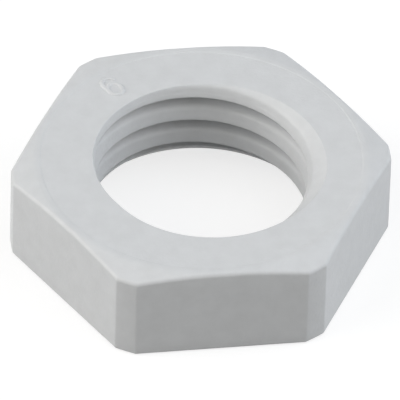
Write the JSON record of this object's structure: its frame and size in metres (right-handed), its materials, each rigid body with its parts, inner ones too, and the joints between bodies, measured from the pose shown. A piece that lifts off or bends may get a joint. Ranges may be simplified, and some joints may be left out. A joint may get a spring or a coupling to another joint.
{
  "type": "cable gland locknut",
  "caption": "Thin hexagonal plastic locknut with a shallow cone round its upper face, rounded corners and a metric internal thread, for holding a cable gland in a wall.",
  "frame": {"origin": "centre of the flat bearing face, on the thread axis", "axes": "+Z along the thread axis, from the bearing face towards the face with the cone; +X towards a corner of the hexagon"},
  "size_m": [0.019, 0.017, 0.0051],
  "materials": {
    "polyamide_grey": "fine satin, as moulded"
  },
  "bodies": {
    "root": {"locknut": "polyamide_grey"}
  },
  "joints": []
}
